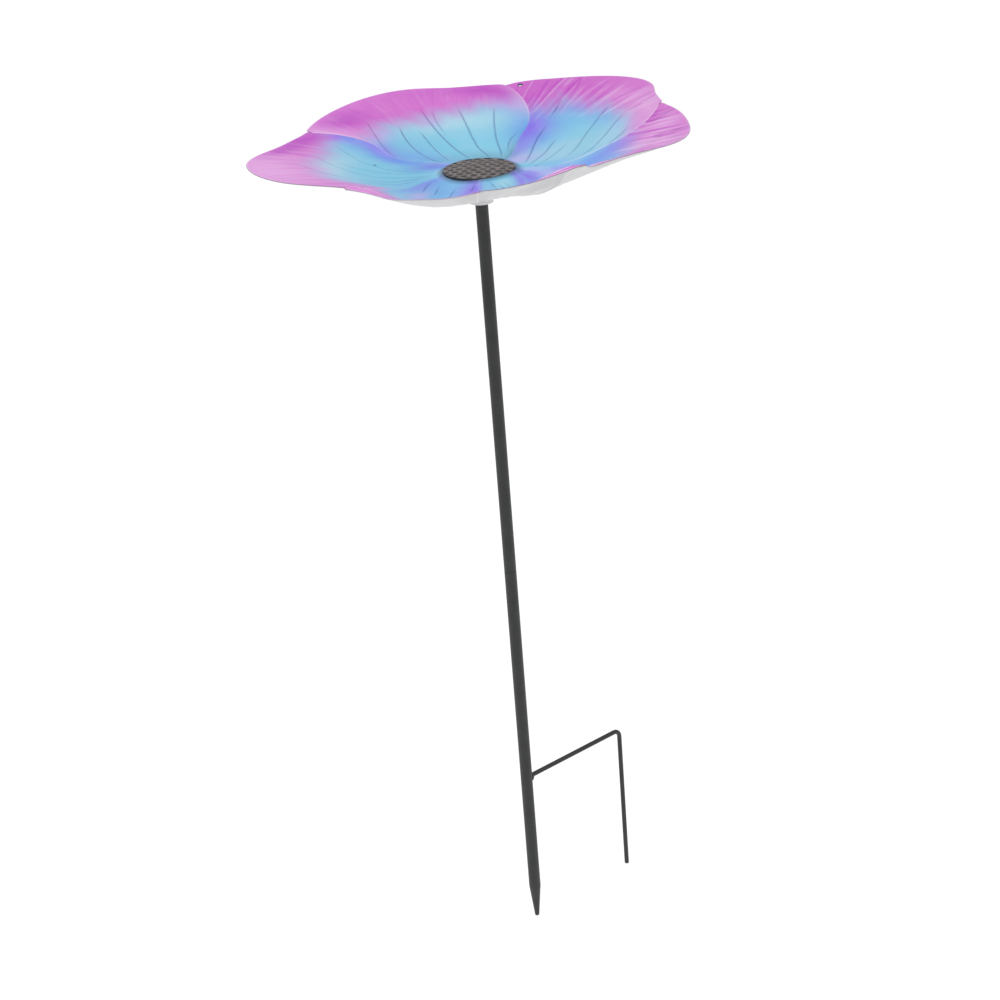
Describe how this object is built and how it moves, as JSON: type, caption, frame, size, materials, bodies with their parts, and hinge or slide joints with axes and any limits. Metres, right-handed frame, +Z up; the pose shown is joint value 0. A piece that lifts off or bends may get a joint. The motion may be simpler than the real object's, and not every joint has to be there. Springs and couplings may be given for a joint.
{
  "type": "bird feeder on pole",
  "caption": "Open flower-shaped feeding dish of overlapping petals round a raised disc, on a push-fit two-section garden stake with a pointed end and a bent step bar.",
  "frame": {"origin": "on the pole's axis at the soil line, where the underside of the step bar's arm rests on the ground", "axes": "+Z up the pole, +X along the step bar's arm, +Y completes the right-handed set"},
  "size_m": [0.4499, 0.3941, 0.8996],
  "materials": {
    "dish_resin": "satin printed resin, cyan running to pink at the rims, white underneath, dark disc in the middle",
    "socket_plastic": "matt moulded",
    "stake_paint": "satin charcoal coating",
    "spigot_steel": "satin black coated steel"
  },
  "bodies": {
    "lower_stake": {"lower_pole": "stake_paint", "step_bar": "stake_paint", "step_bar_weld": "stake_paint"},
    "joint_pin": {"joint_spigot": "spigot_steel"},
    "upper_stake": {"upper_pole": "stake_paint"},
    "dish": {"flower_dish": "dish_resin", "pole_socket": "socket_plastic"}
  },
  "joints": [
    {"name": "pin_pull", "type": "slide", "parent": "lower_stake", "child": "joint_pin", "axis": [0, 0, 1], "range_m": [0, 0.036]},
    {"name": "pole_turn", "type": "hinge", "parent": "joint_pin", "child": "upper_stake", "pos_m": [0, 0, 0.252], "axis": [0, 0, 1], "continuous": true},
    {"name": "dish_lift", "type": "slide", "parent": "upper_stake", "child": "dish", "axis": [0, 0, 1], "range_m": [0, 0.026]}
  ]
}
